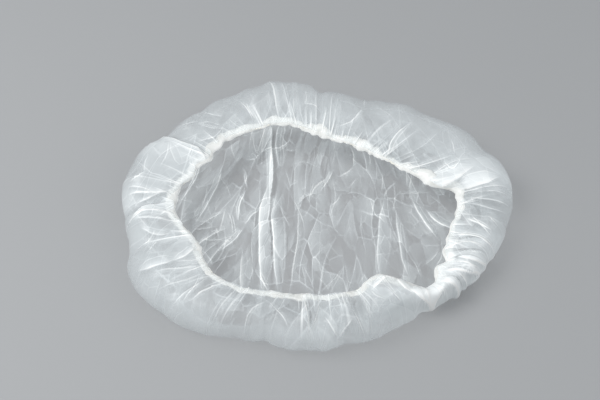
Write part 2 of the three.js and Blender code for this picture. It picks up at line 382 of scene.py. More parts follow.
# %% Folds of the crown
CROWN_FOLDS = [
    # x0, y0, x1, y1, bow, high, white, and for a flat fold its width and haze
    (-36, 6, -35, 94, 0, 4.5, 0.5, 4, 1.3),
    (-34.5, 42, -38.5, -60, 0, 5, 0.6, 10, 1.3),
    (-42, -38, -33, -58, 0, 3, 0.7, 2, 0.5),
    (-29, 32, -26.5, -62, 0, 3.5, 0.6, 8, 0.9),
    (-32.5, 74, -32, -58, 0, -1.2, -0.3, 2, -0.6),
    (-28, 94, -29, 44, 0, 3, 0.5, 3, 0.35),
    (-24, 94, -26, 50, 0, 2.5, 0.6),
    (-38, 90, -45, 56, 1, 2, 0.6),
    (-46, 88, -51, 58, -1, 2, 0.4),
    (-20, 26, -9, -6, 1, 1.8, 0.5),
    (-14, 18, -21, -62, 2, 3, 0.9),
    (-15, 16, 2, 26, 2, 2.5, 0.8),
    (2, 26, 12, 46, -2, 2.5, 0.7),
    (12, 40, 9, 2, 3, 1.5, 0.4),
    (51, 27, 47, -48, 0, 4, 0.45, 9, 0.7),
    (38, 22, 50, -2, -3, 2, 0.6),
    (58, 15, 68, -48, -1, 3.5, 0.6, 4, 0.55),
    (58, 36, 55, 8, 1, 2, 0.6),
    (70, -28, 75, -44, 0, 2, 0.6),
    (69, 24, 91, -16, -2, 4.5, 0.6, 4, 0.65),
    (91, -10, 82, -40, 4, 2.5, 0.6),
    (79, 13, 103, -6, -2, 4, 0.7, 6, 0.7),
    (97, 30, 101, 8, 0, -2, -0.1, 12, -0.6),
    (58, 24, 84, 27, -1, 2, 0.7),
    (70, 46, 68, 28, 1, 2, 0.7),
    (76, 44, 78, 28, 1, 2, 0.5),
    (-106, 6, -83, 60, -2, 4, 0.6, 2, 0.3),
    (-92, -4, -70, 54, -2, 3, 0.5, 4, 0.3),
    (-90, -22, -66, -3, 1, 3, 0.7, 1, 0.2),
    (-82, -38, -57, -3, 1, 3, 0.7, 1, 0.3),
    (-86, -30, -68, -12, 1, 2, 0.6),
    (-76, -46, -63, -20, -1, 2.5, 0.7),
    (-72, -24, -52, 0, -1, 3, 0.6, 2, 0.4),
    (-94, -11, -68, 10, 1, 2.5, 0.7),
    (-86, -14, -60, -8, -2, 2, 0.5),
    (-53, 0, -40, 12, 2, 2.5, 0.5, 3, 0.35),
    (-54, -20, -53, -62, -1, 2.5, 0.6, 1, 0.2),
    (-58, 2, -53, 28, 2, 2.5, 0.8, 2, 0.3),
    (-53, 28, -56, 50, -1, 2, 0.4),
    (-66, 10, -62, -8, 1, 2, 0.6),
    (10, 39, -6, 21, -2, 2.5, 0.7),
    (25, 68, 26, 48, 1, 2.5, 0.8),
    (26, 48, 17, 40, 1, 2, 0.7),
    (18, 26, 10, 14, 1, 1.5, 0.5),
    (18, 26, 38, 22, 2, 1.5, 0.5),
    (21, -32, -2, -60, 3, 2.5, 0.4),
    (21, -32, 9, -58, 1, 2, 0.4),
    (21, -32, 27, -59, -1, 2, 0.4),
    (2, -8, 8, -60, -3, 1.5, 0.3),
    (-49, 78, -41, 50, -1, 1.6, 0.5),
    (-40, 86, -42, 47, 1, 1.6, 0.4),
    (-25, 46, -18, 28, 0, 1.6, 0.4),
    (-20, 50, 2, 48, 2, 1.6, 0.45),
    (-1, 36, -6, 20, 0, 1.5, 0.4),
    (-55, 44, -52, 27, -1, 1.8, 0.6),
    (-67, 14, -72, -9, 0, 1.8, 0.6),
    (-63, 9, -59, -8, 0, 1.6, 0.5),
    (-91, -6, -74, -3, -1, 1.8, 0.6),
    (-74, -3, -71, -12, 0, 1.6, 0.5),
    (-47, -1, -46, -52, -1, 1.8, 0.45),
    (-27, 13, -20, -4, 0, 1.6, 0.5),
    (-10, -33, -3, -54, 0, 1.6, 0.5),
    (-11, -31, -8, -56, 0, 1.5, 0.45),
    (-23, 0, -22, -58, 1, -1, -0.25),
    (-82, 34, -86, 10, 1, 1.6, 0.4),
    (10, 46, 6, 24, -1, 1.8, 0.5),
    (31, 40, 23, 30, 0, 1.6, 0.45),
    (50, 45, 48, 25, 1, 1.8, 0.5),
    (60, 35, 48, 20, -1, 2, 0.6),
    (67, 46, 67, 30, 0, 1.6, 0.5),
    (84, 24, 99, 7, 1, 1.8, 0.45),
    (76, -35, 90, -20, -1, 1.6, 0.45),
    (6, 0, 18, -11, 1, 1.5, 0.4),
    (40, -6, 44, -50, 1, 1.6, 0.4),
    (32, 8, 36, -28, -2, 1.5, 0.35),
    (-2, 70, -6, 44, 1, 1.5, 0.35),
    (14, 70, 10, 50, 1, 1.5, 0.4),
    (38, 60, 40, 46, 0, 1.5, 0.45),
    (-66, 72, -60, 52, -1, 1.5, 0.4),
    (-74, 40, -64, 20, 1, 1.5, 0.35),
]
LINE_SETS, GATHER_LINE_SETS = 5, 3  # sets of lines of the folds, and of the gathers
CROWN_NETS = [
    dict(across=27, along=74, high=3.2, seed=11),
    dict(across=13, along=33, high=1.6, seed=12),
    dict(across=6.5, along=16, high=0.7, seed=13),
]
FAN_X, FAN_Y = 5, 170  # the point that the small creases fan out from
WANDER, WANDER_WAVES = 3, (35, 90)  # how far they stray, in waves how long
PATCH_WAVES = (40, 90)  # of film that is more and less crumpled
PATCH_MEAN, PATCH_SPREAD, PATCH_ENDS = 0.7, 0.6, (0.1, 1.3)  # share of the net's height
MILKY, MILKY_WAVES = 0.07, (18, 60)  # how far the haze rises and falls, in waves how long
NET_SINK = 0.6  # taken off the net, so that its hollows lie flat on the table
FOOT_CALM = 0.12  # share of the way in from the foot over which the creases rise
FOOT_HAZE, FOOT_HAZE_REACH = 0.2, 0.25  # haze at the foot, and the share of the way that it reaches


def fan(x, y):
    """Place across and along the fan: the angle at its point, as a length, and the distance."""
    across = np.arctan2(x - FAN_X, FAN_Y - y) * FAN_Y + WANDER * swell(x, y, *WANDER_WAVES, 1)
    return across, np.hypot(x - FAN_X, FAN_Y - y) + WANDER * swell(x, y, *WANDER_WAVES, 2)


def milky(x, y):
    """How much milkier the film is at a place than elsewhere: a chance rise and fall."""
    return MILKY * swell(x, y, *MILKY_WAVES, 14)


net_rise = lay_nets(*fan(crown_x, crown_y), CROWN_NETS)
fold_rise, crown_haze, crown_lines = lay_folds(crown_x, crown_y, CROWN_FOLDS, LINE_SETS)
patchy = np.clip(PATCH_MEAN + PATCH_SPREAD * swell(crown_x, crown_y, *PATCH_WAVES, 3), *PATCH_ENDS)
from_foot = 1 - np.maximum(np.abs(s), np.abs(t))
near_foot = ease(from_foot / FOOT_CALM)
crown_haze = crown_haze * near_foot + FOOT_HAZE * ease(1 - from_foot / FOOT_HAZE_REACH)
crown_haze = crown_haze + milky(crown_x, crown_y)
crown_z = TABLE_GAP + near_foot * np.maximum(net_rise * patchy + fold_rise - NET_SINK, 0)
print("crown stands up to", crown_z.max().round(1), "mm off the table")

# %% [markdown]
# The side. Seen in section, the film leaves the table, swells out to the outline, turns over at
# the crest and comes in to the elastic. The section is two quarter ellipses and a slope that
# steepens down to the hem, and its sizes come from the measured plan, so the lobes and dents of the
# frame are in it already. The rows lie closest near the hem, where the film is most folded.

# %% Side section
WAIST_ROW, CREST_ROW = 0.3, 0.55  # shares of the way up the section
ROWS_BELOW_WAIST, ROWS_TO_CREST, ROWS_TO_HEM = 7, 12, 22
WAIST_SHARE = 0.4  # height of the widest place, as a share of the crest's
CREST_SHARE = 0.4  # place of the crest, as a share of the way from outline to rim
HEM_TOP = 0.9  # from the elastic's middle up to where the film meets it
FALL = 1.5  # power by which the film falls from the crest to the hem
LEAST_CREST = 1  # the crest is at least this far above the hem


def side_surface(angle, row):
    """Middle of the film at angles round the cap and rows from 0, at the foot, to 1, at the hem.

    Below the waist and between waist and crest the section is a quarter ellipse: the radius goes
    with the cosine and the height with the sine. From the crest in, the radius goes straight to
    the rim while the height falls to the hem as a power of the share of the way."""
    rim, reach = rim_radius(angle), outline(angle)
    hem = rim_height(angle) + HEM_TOP
    crest = np.maximum(crest_height(angle), hem + LEAST_CREST)
    waist = WAIST_SHARE * crest
    inset = CREST_SHARE * (reach - rim)
    lift = np.interp(row, [0, WAIST_ROW, CREST_ROW], [-np.pi / 2, 0, np.pi / 2])
    share = np.clip((row - CREST_ROW) / (1 - CREST_ROW), 0, 1)
    rise = np.where(lift < 0, waist - TABLE_GAP, crest - waist)
    radius = reach - np.where(lift < 0, FOOT_INSET, inset) * (1 - np.cos(lift))
    radius = radius + share * (rim - reach + inset)
    height = waist + rise * np.sin(lift) + share**FALL * (hem - crest)
    return np.stack([radius * np.cos(angle), radius * np.sin(angle), height], -1)


rows = np.concatenate([
    np.linspace(0, WAIST_ROW, ROWS_BELOW_WAIST + 1)[1:],
    np.linspace(WAIST_ROW, CREST_ROW, ROWS_TO_CREST + 1)[1:],
    np.linspace(CREST_ROW, 1, ROWS_TO_HEM + 1)[1:],
])
angle, row = np.meshgrid(border_angle % FULL_TURN, rows)
side_base = side_surface(angle, row)
side_x, side_y = side_base[..., 0], side_base[..., 1]
steps = np.linalg.norm(np.diff(side_base, axis=0), axis=-1)
from_hem = np.concatenate([np.cumsum(steps[::-1], 0)[::-1], 0 * steps[:1]])
print("side:", side_base.shape[0], "rows of", side_base.shape[1])

# %% [markdown]
# The gathers. Twice as much film as there is room for has to get into the hem. Close to the hem it
# is crowded into hundreds of tiny pleats; a little further out they merge into fewer and larger
# ones, and only a few run right over the crest. So there are four sets of pleats, each with fewer,
# longer and higher ones than the last. Within a set the pleats are unevenly spaced and sized.

# %% Gathers of the side
GATHER_SETS = [
    dict(count=320, reach=6, high=0.8, white=0, seed=21),
    dict(count=130, reach=14, high=1.1, white=1.40, seed=22),
    dict(count=56, reach=25, high=1.5, white=1.20, seed=23),
    dict(count=27, reach=48, high=2.0, white=0.55, seed=24),
]
MEAN_RADIUS = 105
SLANT = 0.22  # how far pleats lean off straight out
LEAN_REACH = 14  # from the hem, past which they straighten
LEAN_WAVES = (2, 5, 11, 19)  # waves round the cap of which way they lean
SPACINGS, SIZES, REACHES = (0.4, 1.6), (0.15, 1), (0.4, 1.7)  # shares that a set's pleats vary by
PLEAT_FADE = 0.7  # power by which a pleat runs out
PLEAT_RISE, PLEAT_START = 3, 0.4  # length of its rise, and the share of it that lies inside the hem


def gather_set(angle, from_hem, pleats):
    """One set of pleats out of the hem: their height, and the distance and white of their lines.

    The pleats' crests are chance angles in order. The place among them, as a running number, says
    which crest is nearest and how far off it is: the height is a squared tent of that. Each pleat
    fades as what is left of its own length, and rises over the first millimetres from the hem. Near
    the hem the pleats lean this way and that, by a sum of waves, and further out they straighten."""
    draw = np.random.default_rng(pleats["seed"])
    count = pleats["count"]
    crest = np.cumsum(draw.uniform(*SPACINGS, count))
    crest = crest / crest[-1] * FULL_TURN
    size = draw.uniform(*SIZES, count)
    reach = pleats["reach"] * draw.uniform(*REACHES, count)
    phases = draw.uniform(0, FULL_TURN, len(LEAN_WAVES))
    lean = sum(np.sin(k * angle + phase) for k, phase in zip(LEAN_WAVES, phases))
    leaned_over = LEAN_REACH * (1 - np.exp(-from_hem / LEAN_REACH))
    leaned = (angle + SLANT * lean * leaned_over / MEAN_RADIUS) % FULL_TURN
    place = np.interp(leaned, np.append(0, crest), np.arange(count + 1))
    nearest = np.round(place).astype(int) % count
    off = place - np.round(place)
    fade = np.clip(1 - from_hem / reach[nearest], 0, 1) ** PLEAT_FADE
    fade = fade * ease(PLEAT_START + from_hem / PLEAT_RISE)
    height = pleats["high"] * size[nearest] * fade * tent(2 * off)
    white = pleats["white"] * size[nearest] ** 2 * fade * ease(2 - 4 * np.abs(off))
    return height, np.stack([off * FULL_TURN * MEAN_RADIUS / count, white])


gathered = [gather_set(angle, from_hem, pleats) for pleats in GATHER_SETS]
gather_rise = sum(height for height, line in gathered)
gather_lines = np.stack([line for height, line in gathered[-GATHER_LINE_SETS:]])
print("gathers stand up to", gather_rise.max().round(1), "mm high")

# %% [markdown]
# On top of the gathers come the folds that this one cap happens to have: the edges of its lobes on
# the left, the fans of creases at the lower left and the right, the doubled humps at the right
# corner, and the rope of twisted film at the lower right with the pulled loop beside it. Between
# them lies a net of small creases, as on the crown, but one lobe on the left is nearly free of it.

# %% Folds of the side
SIDE_FOLDS = [
    # x0, y0, x1, y1, bow, high, white, and for a flat fold its width and haze
    (-37, 99, -27, 70, 1, 2, 0.8),
    (-58, 81, -46, 67, 1, 1.6, 0.7),
    (-52, 79, -44, 68, -1, 1.6, 0.6),
    (-17, 84, -16, 70, 0, 1.6, 0.7),
    (-9, 89, -9, 77, 1, 1.6, 0.6),
    (-10, 79, 4, 71, 2, 1.5, 0.6),
    (34, 90, 34, 73, 1, 1.6, 0.5),
    (35, 75, 14, 61, 3, 1.8, 0.6),
    (55, 66, 36, 45, -1, 2, 0.5),
    (69, 63, 51, 34, -2, 3, 0.75, 2, 0.2),
    (56, 34, 90, 56, -3, 2, 0.35),
    (90, 34, 104, 34, -7, 2, 0.6),
    (98, 50, 99, 38, 0, 1.5, 0.5),
    (74, 15, 114, 29, 0, 3.6, 0.6, 11, 1.6),
    (80, 22, 112, 34, 3, 2, 0.6),
    (98, 13, 132, 20, 1, 2.4, 0.6, 9, 1.4),
    (104, 9, 138, 13, 0, 1.6, 0.6),
    (104, 6, 138, 7, 1, 1.6, 0.7),
    (104, 3, 138, 1, 0, 1.6, 0.7),
    (105, 0, 136, -5, 0, 1.4, 0.5),
    (106, -12, 125, -21, 1, 2.4, 0.7, 2, 0.4),
    (110, -10, 124, -25, 0, 2, 0.6),
    (119, -9, 129, -17, 0, 2, 0.7),
    (94, -25, 128, -32, 3, 2.6, 0.8, 3, 0.6),
    (92, -34, 118, -33, 1, 1.5, 0.8),
    (96, -40, 121, -37, -2, 2.6, 0.6, 5, 0.8),
    (90, -45, 110, -47, 1, 1.4, 0.7),
    (86, -51, 117, -44, -2, 2.4, 0.8, 3, 0.8),
    (96, -53, 108, -56, 0, 1.4, 0.6),
    (84, -60, 104, -62, 2, 2.2, 0.6, 4, 0.7),
    (-72, 20, -134, 37, -4, 3.4, 0.6, 30, 0.6),
    (-88, 62, -69, 63, 2, 1.6, 0.5),
    (-69, 64, -75, 53, 1, 1.6, 0.5),
    (-108, 45, -113, 26, 1, 1.6, 0.35),
    (-107, 46, -98, 27, 0, 1.6, 0.3, 5, 0.35),
    (-121, 36, -123, 21, -1, 1.6, 0.35),
    (-122, 22, -133, 15, 1, 1.8, 0.6),
    (-136, 7, -103, 10, -2, 2.2, 0.7),
    (-135, 12, -118, 7, 0, 1.8, 0.5),
    (-139, -9, -106, 8, 0, -1.6, -0.2, 5, -0.4),
    (-97, 3, -132, -16, 0, 2.2, 0.5, 8, 0.8),
    (-134, -4, -104, 12, 0, 1.6, 0.5),
    (-105, -9, -91, -25, 2.5, 1.8, 0.7),
    (-124, -54, -96, -46, 0, 2.6, 0.5, 6, 0.7),
    (-100, -49, -86, -31, -1, 2.6, 0.6, 4, 0.7),
    (-114, -22, -122, -34, 0, 1.2, 0.4),
    (-127, -36, -116, -28, 0, 1.2, 0.4),
    (-79, -50, -114, -57, 1, 1.6, 0.6),
    (-78, -54, -111, -69, 2, 1.8, 0.6),
    (-76, -57, -101, -81, 1, 1.6, 0.5),
    (-82, -57, -91, -79, 1, 1.6, 0.6),
    (-65, -63, -86, -79, -1, 2.4, 0.8),
    (-54, -67, -72, -94, 0, 2.2, 0.7),
    (-49, -71, -68, -95, 0, 2, 0.6),
    (-33, -77, -52, -99, -4, 2.2, 0.7),
    (-35, -76, -19, -98, 0, 2.2, 0.7),
    (-10, -75, -5, -106, 1, 2.6, 0.9),
    (-6, -78, -4, -100, 0, -1.8, -0.6),
    (1, -74, -5, -102, 1, 2.4, 0.8),
    (13, -78, 34, -99, 0, 2.4, 0.7),
    (4, -90, 15, -101, 0, 1.8, 0.6),
    (14, -101, 23, -91, 0, 1.8, 0.6),
    (29, -71, 38, -98, 0, 2.4, 0.6),
    (54, -57, 66, -72, 0, 3, 0.9, 8, 1.3),
    (59, -68, 88, -64, -2.5, 2.6, 0.8, 8, 1.3),
    (36, -69, 47, -67, 1, 1.8, 0.5),
    (46, -67, 58, -78, 0, 1.8, 0.7),
    (36, -70, 47, -77, -2, 1.6, 0.5),
    (-94, 71, -68, 70, 1, 1.8, 0.5),
    (-86, 62, -67, 61, -1, 1.8, 0.5),
    (-104, 62, -86, 64, -1, 1.8, 0.45),
    (-85, 50, -71, 55, 0, 1.6, 0.5),
    (-98, -49, -80, -45, 0, 1.4, 0.6),
    (-96, -52, -79, -48, 0, 1.4, 0.6),
    (-93, -57, -77, -50, 0, 1.4, 0.5),
    (-122, -38, -108, -30, 1, 1.6, 0.4),
    (-118, -44, -112, -30, 0, 1.6, 0.4),
    (-137, -19.5, -121, -7.5, -1, 2, 0.7),
    (-130, -12, -99, -5.5, 1, 2, 0.7),
    (95, -29, 124, -29, 1, -1.2, -0.4),
    (94, -37, 118, -35, -1, -1.2, -0.4),
    (91, -42, 116, -41, 1, -1.2, -0.4),
    (88, -48.5, 112, -49, -1, -1.2, -0.4),
    (86, -56, 106, -59, 1, -1.2, -0.4),
    (37, -71, 49, -57, 1, 1.2, 0.6, 3, 0.7),
    (43, -59, 62, -60, 0.5, 1.2, 0.7, 3, 0.8),
    (-128, -14, -104, -13, 1, 1.8, 0.45, 4, 0.5),
    (-124, -21, -103, -24, -1, 1.6, 0.4, 3, 0.35),
]
CALM_FILM = [(189, 13, 0.85)]  # place and half width in degrees, share of the net that is missing
ROUND = FULL_TURN * MEAN_RADIUS
SIDE_NETS = [
    dict(across=ROUND / 22, along=60, repeat=(22, NET_TABLE), high=3.0, seed=31),
    dict(across=ROUND / 55, along=26, repeat=(55, NET_TABLE), high=1.0, seed=32),
    dict(across=ROUND / 110, along=12, repeat=(110, NET_TABLE), high=0.4, seed=33),
]
SIDE_NET_SINK = 1.2  # taken off the net, so that its hollows dip below the plain surface
fold_rise, fold_haze, fold_lines = lay_folds(side_x, side_y, SIDE_FOLDS, LINE_SETS)
net_u = angle * MEAN_RADIUS + WANDER * swell(side_x, side_y, *WANDER_WAVES, 4)
net_v = from_hem + WANDER * swell(side_x, side_y, *WANDER_WAVES, 5)
half_way_up = WAIST_ROW / 2
above_waist = ease((row - half_way_up) / half_way_up)
side_rise = gather_rise + above_waist * fold_rise
crumpled = 1 - along_rim(angle, CALM_FILM)
side_net = lay_nets(net_u, net_v, SIDE_NETS) - SIDE_NET_SINK
side_rise = side_rise + ease(row / WAIST_ROW) * crumpled * side_net
fold_lines[:, 1] *= above_waist
print(len(SIDE_FOLDS), "folds on the side")

# %% [markdown]
# The pleats and folds push the film out along its own normals. The normals come from the base
# surface: the cross product of its slopes along a row and along a column, with the row wrapped
# round on itself. Where the side lies in several layers the film is milkier, and so it is close to
# the hem. Then the crown and the side are joined into one sheet. Its vertices carry the sets of
# lines, the haze, how much fine crinkle shows, and the lay of the film, its place in the fan. A
# last line runs along the film's outermost turn, a little white in places.

# %% Join crown and side
FILM_LAYERS = [
    # place and half width in degrees, share of extra film
    (12, 6, 0.65),
    (158, 8, 0.15),
    (178, 5, 0.65),
    (190, 7, 0.20),
    (205, 8, 0.15),
    (304, 7, 0.25),
    (316, 6, 0.70),
    (328, 9, 0.95),
    (343, 8, 0.65),
]
TURN_WHITE, TURN_WAVES = 0.35, (20, 70)  # white of the line along the turn, and the waves that it comes and goes in
SIDE_HAZE, MOST_HAZE = 0.18, 1.6
HEM_HAZE, HEM_HAZE_REACH = 0.35, 4  # haze added at the hem, and how far it spreads
LOW_HAZE = 0.6  # share of the haze that is left at the foot
CALM_SIDE, FINE_REACH = 0.28, 10  # share of fine crinkle away from the hem, and how far the rest spreads
CALM_FOOT = 0.3  # share of fine crinkle at the crown's edge
wrapped = np.concatenate([side_base[:, -1:], side_base, side_base[:, :1]], 1)
along_row = (wrapped[:, 2:] - wrapped[:, :-2]) / 2
along_column = np.gradient(side_base, axis=0)
normal = np.cross(along_row, along_column)
normal /= np.linalg.norm(normal, axis=-1, keepdims=True)
side_points = side_base + normal * side_rise[..., None]
side_points[..., 2] = np.maximum(side_points[..., 2], TABLE_GAP)

layered = along_rim(angle, FILM_LAYERS)
side_haze = SIDE_HAZE + HEM_HAZE * np.exp(-from_hem / HEM_HAZE_REACH)
side_haze = side_haze + above_waist * (layered + fold_haze) + milky(side_x, side_y)
side_haze = np.clip(side_haze, 0, MOST_HAZE) * (LOW_HAZE + (1 - LOW_HAZE) * ease(row / WAIST_ROW))
crown_points = np.stack([crown_x, crown_y, crown_z], -1).reshape(-1, 3)
film_points = np.concatenate([crown_points, side_points.reshape(-1, 3)])
ring = np.vstack([border, s.size + np.arange(angle.size).reshape(angle.shape)])
ring_next = np.roll(ring, -1, axis=1)
side_quads = np.stack([ring[:-1], ring_next[:-1], ring_next[1:], ring[1:]], -1).reshape(-1, 4)
film = make_piece("cap_film", film_points, np.concatenate([crown_quads, side_quads]))
from_waist = from_hem[ROWS_BELOW_WAIST - 1] - from_hem
turn_white = TURN_WHITE * np.clip(0.5 + swell(side_x, side_y, *TURN_WAVES, 15), 0, 1)
turn_white = turn_white * ease(2 - 2 * np.abs(from_waist) / LINE_REACH)
turn_line = np.stack([from_waist, turn_white])
crown_lines[:, 1] *= near_foot
all_side = np.concatenate([fold_lines, gather_lines, turn_line[None]])
all_crown = np.concatenate([crown_lines, empty_lines(len(all_side) - LINE_SETS, crown_x.shape)])
for set_number, (on_crown, on_side) in enumerate(zip(all_crown, all_side)):
    held = np.concatenate([on_crown.reshape(2, -1), on_side.reshape(2, -1)], 1)
    paint_vector(film, f"line_{set_number}", *held, 0 * held[0])
paint(film, "haze", np.concatenate([crown_haze.ravel(), side_haze.ravel()]))
crown_fine = CALM_FOOT + (1 - CALM_FOOT) * near_foot
side_fine = CALM_SIDE + (1 - CALM_SIDE) * np.exp(-from_hem / FINE_REACH)
paint(film, "fine", np.concatenate([crown_fine.ravel(), side_fine.ravel()]))
lay_across, lay_along = fan(film_points[:, 0], film_points[:, 1])
paint_vector(film, "lay", lay_across, lay_along, 0 * lay_across)

# %% [markdown]
# The hem. The film's edge is turned over the elastic and welded, and the elastic pulls that narrow
# casing into a crumpled ribbon. A flat tube along the rim makes it. Its radius follows the same
# kind of crease net as the film, wrapped round the tube so that it meets itself both ways: that
# gives ridges and hollows with no order, where rings of equal tucks would look like a cord. The
# inner edge lies tight against the elastic, and the tucks stick out on the other side, where the
# gathers start. The ribbon is tipped up on that side, swells and thins along the rim, and is fattest
# where layers pile up.

# %% Hem casing
HEM_COLUMNS, HEM_SIDES = 3000, 24
HEM_RADIUS, HEM_FLAT = 2.0, 0.45
HEM_OUT = 0.6  # how far the ribbon's middle lies outside the elastic
HEM_TIP = np.radians(32)
HEM_GIRTH = 18  # round the tube
HEM_NETS = [
    dict(across=ROUND / 44, along=HEM_GIRTH / 2, repeat=(44, 2), high=2.4, seed=51),
    dict(across=ROUND / 115, along=HEM_GIRTH / 2, repeat=(115, 2), high=1.0, seed=52),
    dict(across=ROUND / 340, along=HEM_GIRTH / 4, repeat=(340, 4), high=0.25, seed=53),
]
INNER_TUCKS = 0.2  # depth of the tucks at the inner edge, as a share of the outer ones'
HEM_SWELL, HEM_WAVES = 1.0, (16, 60)  # how far the ribbon swells and thins, in waves how long
HEM_WOBBLE, WOBBLE_WAVES = 0.5, (14, 50)  # how far it strays in long kinks
HEM_JITTER, JITTER_WAVES = 0.65, (4, 14)  # and in short ones
HEM_PUFFS = [
    # place and half width in degrees, extra radius
    (13.5, 4, 2.2),
    (152, 5, 0.8),
    (178, 5, 1.0),
    (190, 7, 0.6),
    (304, 7, -0.2),
    (318, 4, 1.2),
    (330, 10, 1.6),
]


def rim_frame(angle, tip):
    """The rim's middle line with its outward and upward directions, square to its run and tipped up
    on the outer side by an angle."""
    radius = rim_radius(angle)
    middle = np.stack([radius * np.cos(angle), radius * np.sin(angle), rim_height(angle)], -1)
    run = np.roll(middle, -1, 0) - np.roll(middle, 1, 0)
    run /= np.linalg.norm(run, axis=1, keepdims=True)
    outward = np.stack([run[:, 1], -run[:, 0], 0 * run[:, 0]], -1)
    outward /= np.linalg.norm(outward, axis=1, keepdims=True)
    outward = outward * np.cos(tip) + np.cross(outward, run) * np.sin(tip)
    return middle, outward, np.cross(outward, run)


def ring_tube(angle, radius, flat, tip, wobble):
    """Points of a closed tube along the rim: a circle of the given radii, one for each angle round
    the cap and round the tube, flattened upwards by a share, tipped, and moved outwards by the wobble."""
    middle, outward, upward = rim_frame(angle, tip)
    round_tube = np.arange(radius.shape[1]) * FULL_TURN / radius.shape[1]
    out = (radius * np.cos(round_tube) + wobble[:, None])[..., None] * outward[:, None]
    up = (radius * flat * np.sin(round_tube))[..., None] * upward[:, None]
    return (middle[:, None] + out + up).reshape(-1, 3)


def tube_quads(columns, sides):
    """Quads of a tube closed both ways, facing out."""
    n = np.arange(columns * sides).reshape(columns, sides)
    ahead, up = np.roll(n, -1, 0), np.roll(n, -1, 1)
    return np.stack([n, ahead, np.roll(ahead, -1, 1), up], -1).reshape(-1, 4)


hem_angle = np.arange(HEM_COLUMNS) * FULL_TURN / HEM_COLUMNS
round_hem = np.arange(HEM_SIDES) / HEM_SIDES
hem_u, hem_v = np.meshgrid(hem_angle * MEAN_RADIUS, round_hem * HEM_GIRTH, indexing="ij")
lumps = lay_nets(hem_u, hem_v, HEM_NETS)
outer = np.broadcast_to((1 + np.cos(round_hem * FULL_TURN)) / 2, lumps.shape)
tucks = lumps * (INNER_TUCKS + (1 - INNER_TUCKS) * outer)
rim_x, rim_y = MEAN_RADIUS * np.cos(hem_angle), MEAN_RADIUS * np.sin(hem_angle)
thick = HEM_SWELL * swell(rim_x, rim_y, *HEM_WAVES, 9)
hem_radius = HEM_RADIUS + np.maximum(tucks + (thick + along_rim(hem_angle, HEM_PUFFS))[:, None], 0)
hem_wobble = HEM_OUT + HEM_WOBBLE * swell(rim_x, rim_y, *WOBBLE_WAVES, 6, zigzag)
hem_wobble = hem_wobble + HEM_JITTER * swell(rim_x, rim_y, *JITTER_WAVES, 10, zigzag)
hem = make_piece(
    "hem_casing",
    ring_tube(hem_angle, hem_radius, HEM_FLAT, HEM_TIP, hem_wobble),
    tube_quads(HEM_COLUMNS, HEM_SIDES),
)
paint(hem, "lump", lumps / lumps.max())
paint(hem, "outer", outer)
paint_vector(hem, "lay", hem_u.ravel(), hem_v.ravel(), 0 * hem_u.ravel())

# %% [markdown]
# The elastic. It is a thin cream thread of two twisted plies that runs inside the casing and shows
# through it only faintly. The two plies come from a tube whose radius goes with the cosine of
# twice the angle round it, turning steadily as it goes along.

# %% Elastic thread
THREAD_COLUMNS, THREAD_SIDES = 1200, 12
THREAD_RADIUS = 0.8
PLY_DEPTH = 0.16
PLY_TURNS = 160

thread_angle = np.arange(THREAD_COLUMNS) * FULL_TURN / THREAD_COLUMNS
round_thread = np.arange(THREAD_SIDES) * FULL_TURN / THREAD_SIDES
thread_radius = THREAD_RADIUS + PLY_DEPTH * np.cos(2 * round_thread - PLY_TURNS * thread_angle[:, None])
elastic = make_piece(
    "elastic_thread",
    ring_tube(thread_angle, thread_radius, 1, 0, 0 * thread_angle),
    tube_quads(THREAD_COLUMNS, THREAD_SIDES),
)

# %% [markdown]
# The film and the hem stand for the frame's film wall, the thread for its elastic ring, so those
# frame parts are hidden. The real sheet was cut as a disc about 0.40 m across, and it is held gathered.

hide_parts("crown_film")
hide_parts("crown_film")
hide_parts("elastic_band")

# %% [markdown]
# Finishes share one effect: the fine crinkle of thin film, a net of straight little creases. A
# texture of cells gives the distance to the nearest edge of their net; warping it with noise takes
# the honeycomb look away, and a second noise makes its lines come and go. Between the lines lie
# facets, and each gets painted shade, lighter on one side and darker on the other, as if it were
# tipped its own way to the light. It is a node group with its own inputs, so that each finish sets
# the size of the cells.

# %% Crinkle group
CRINKLE_WARP = 0.12  # of a cell
CRINKLE_SOCKETS = [
    ("Position", "INPUT", "Vector"),
    ("Cells", "INPUT", "Vector"),
    ("Width", "INPUT", "Float"),
    ("Height", "OUTPUT", "Float"),
    ("Line", "OUTPUT", "Float"),
    ("Facet Shade", "OUTPUT", "Float"),
]


def link(tree, source, target):
    """Joins two sockets of a node tree."""
    tree.links.new(source, target)


def add_node(tree, kind, **values):
    """A new node with some of its inputs set by name."""
    node = tree.nodes.new(kind)
    for name, value in values.items():
        node.inputs[name].default_value = value
    return node


